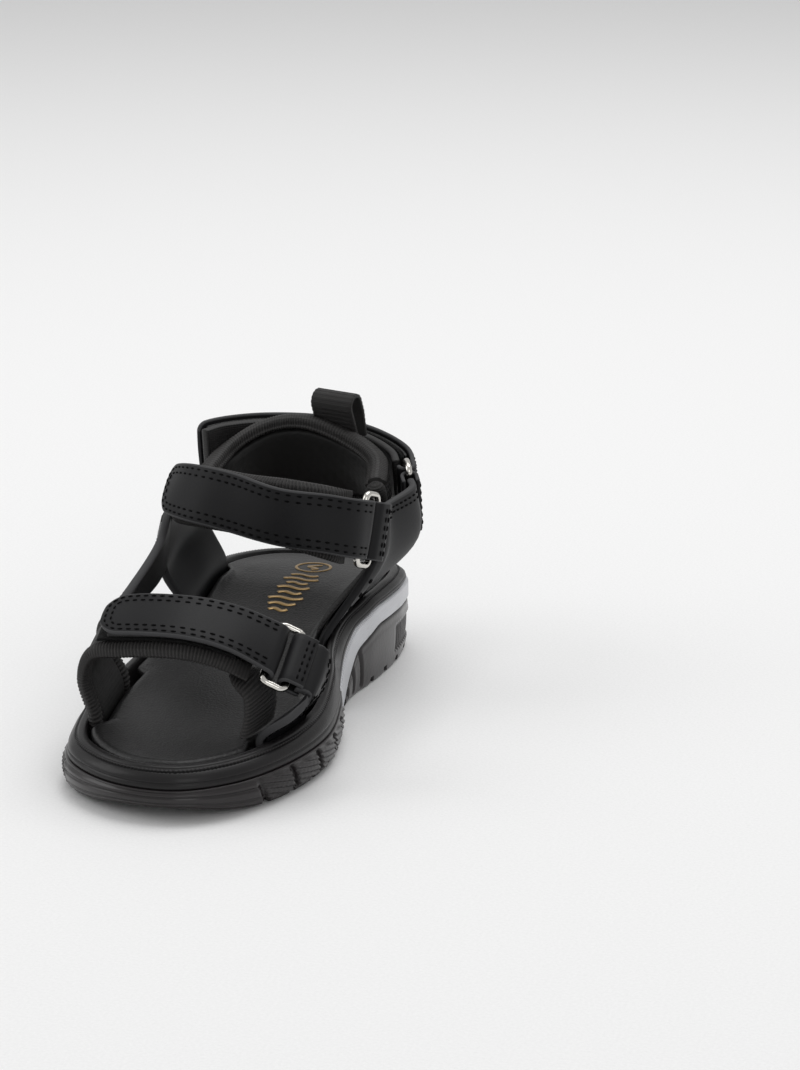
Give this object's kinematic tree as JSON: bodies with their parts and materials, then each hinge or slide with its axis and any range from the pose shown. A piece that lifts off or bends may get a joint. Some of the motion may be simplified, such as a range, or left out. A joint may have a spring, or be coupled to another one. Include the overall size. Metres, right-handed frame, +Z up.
{
  "type": "strappy sport sandal",
  "caption": "Open sport sandal for the right foot, with hook-and-loop straps over the toes, instep and heel on a two-part rubber sole.",
  "frame": {"origin": "on the ground, under the middle of the sandal's outline", "axes": "+Z up, -Y towards the toe, +Y towards the heel, +X towards the inner side of the right foot"},
  "size_m": [0.0787, 0.1876, 0.0819],
  "materials": {
    "smooth_leather": "smooth matt near-black leather, thin grey cut edge",
    "grain_leather": "fine-grained black footbed leather",
    "ribbed_elastic": "black elastic and grosgrain with fine ribs",
    "lining_cloth": "black lining cloth",
    "mesh_cloth": "black open air mesh over foam",
    "loop_pile": "fuzzy black loop pile",
    "hook_tape": "black nylon hook tape",
    "ring_steel": "bright plated steel wire",
    "badge_rubber": "moulded badge, white outline on black",
    "stripe_foam": "metallic silver foam with a fine moulded texture",
    "midsole_rubber": "black moulded midsole with a knurled line",
    "outsole_rubber": "smoky dark translucent rubber, glossy",
    "board_fibre": "pressed cellulose board",
    "footbed_foam": "dark grey footbed foam"
  },
  "bodies": {
    "sandal": {"outsole_forefoot": "outsole_rubber", "outsole_heel": "outsole_rubber", "midsole_stripe": "stripe_foam", "midsole": "midsole_rubber", "lasting_board": "board_fibre", "footbed_foam": "footbed_foam", "footbed_cover": "grain_leather", "toe_band": "lining_cloth", "toe_lower_binding": "ribbed_elastic", "toe_upper_binding": "ribbed_elastic", "toe_loop_tape": "loop_pile", "toe_ring_tab": "smooth_leather", "instep_band": "lining_cloth", "instep_lower_binding": "ribbed_elastic", "instep_upper_binding": "ribbed_elastic", "instep_loop_tape": "loop_pile", "instep_ring_tab": "smooth_leather", "heel_band": "lining_cloth", "heel_loop_tape": "loop_pile", "heel_ring_tab": "smooth_leather", "vamp_inner_panel": "smooth_leather", "vamp_inner_tongue": "ribbed_elastic", "outer_quarter": "smooth_leather", "outer_bridge": "smooth_leather", "mesh_insert": "mesh_cloth", "badge": "badge_rubber", "heel_collar": "mesh_cloth", "collar_lower_binding": "ribbed_elastic", "collar_upper_binding": "ribbed_elastic", "inner_quarter": "smooth_leather", "inner_quarter_lining": "lining_cloth", "pull_tab": "ribbed_elastic"},
    "toe_ring_body": {"toe_ring": "ring_steel"},
    "toe_strap_body": {"toe_strap": "smooth_leather", "toe_hook_tape": "hook_tape"},
    "instep_ring_body": {"instep_ring": "ring_steel"},
    "instep_strap_body": {"instep_strap": "smooth_leather", "instep_hook_tape": "hook_tape"},
    "heel_ring_body": {"heel_ring": "ring_steel"},
    "heel_strap_body": {"heel_strap": "smooth_leather", "heel_hook_tape": "hook_tape"}
  },
  "joints": [
    {"name": "toe_ring_swivel", "type": "hinge", "parent": "sandal", "child": "toe_ring_body", "pos_m": [0.0295, -0.05158, 0.03433], "axis": [0.028, 0.8605, 0.5087], "range_deg": [0, 10]},
    {"name": "toe_strap_open", "type": "hinge", "parent": "toe_ring_body", "child": "toe_strap_body", "pos_m": [0.02345, -0.05322, 0.03743], "axis": [0.028, 0.8605, 0.5087], "range_deg": [0, 110]},
    {"name": "instep_ring_swivel", "type": "hinge", "parent": "sandal", "child": "instep_ring_body", "pos_m": [0.03295, 0.02052, 0.05255], "axis": [0.08, 0.3059, 0.9487], "range_deg": [0, 10]},
    {"name": "instep_strap_open", "type": "hinge", "parent": "instep_ring_body", "child": "instep_strap_body", "pos_m": [0.03114, 0.01414, 0.05476], "axis": [0.08, 0.3059, 0.9487], "range_deg": [0, 110]},
    {"name": "heel_ring_swivel", "type": "hinge", "parent": "sandal", "child": "heel_ring_body", "pos_m": [0.03552, 0.05626, 0.05272], "axis": [0, 0.2161, -0.9764], "range_deg": [0, 10]},
    {"name": "heel_strap_open", "type": "hinge", "parent": "heel_ring_body", "child": "heel_strap_body", "pos_m": [0.03294, 0.06262, 0.05413], "axis": [0, 0.2161, -0.9764], "range_deg": [0, 110]}
  ]
}
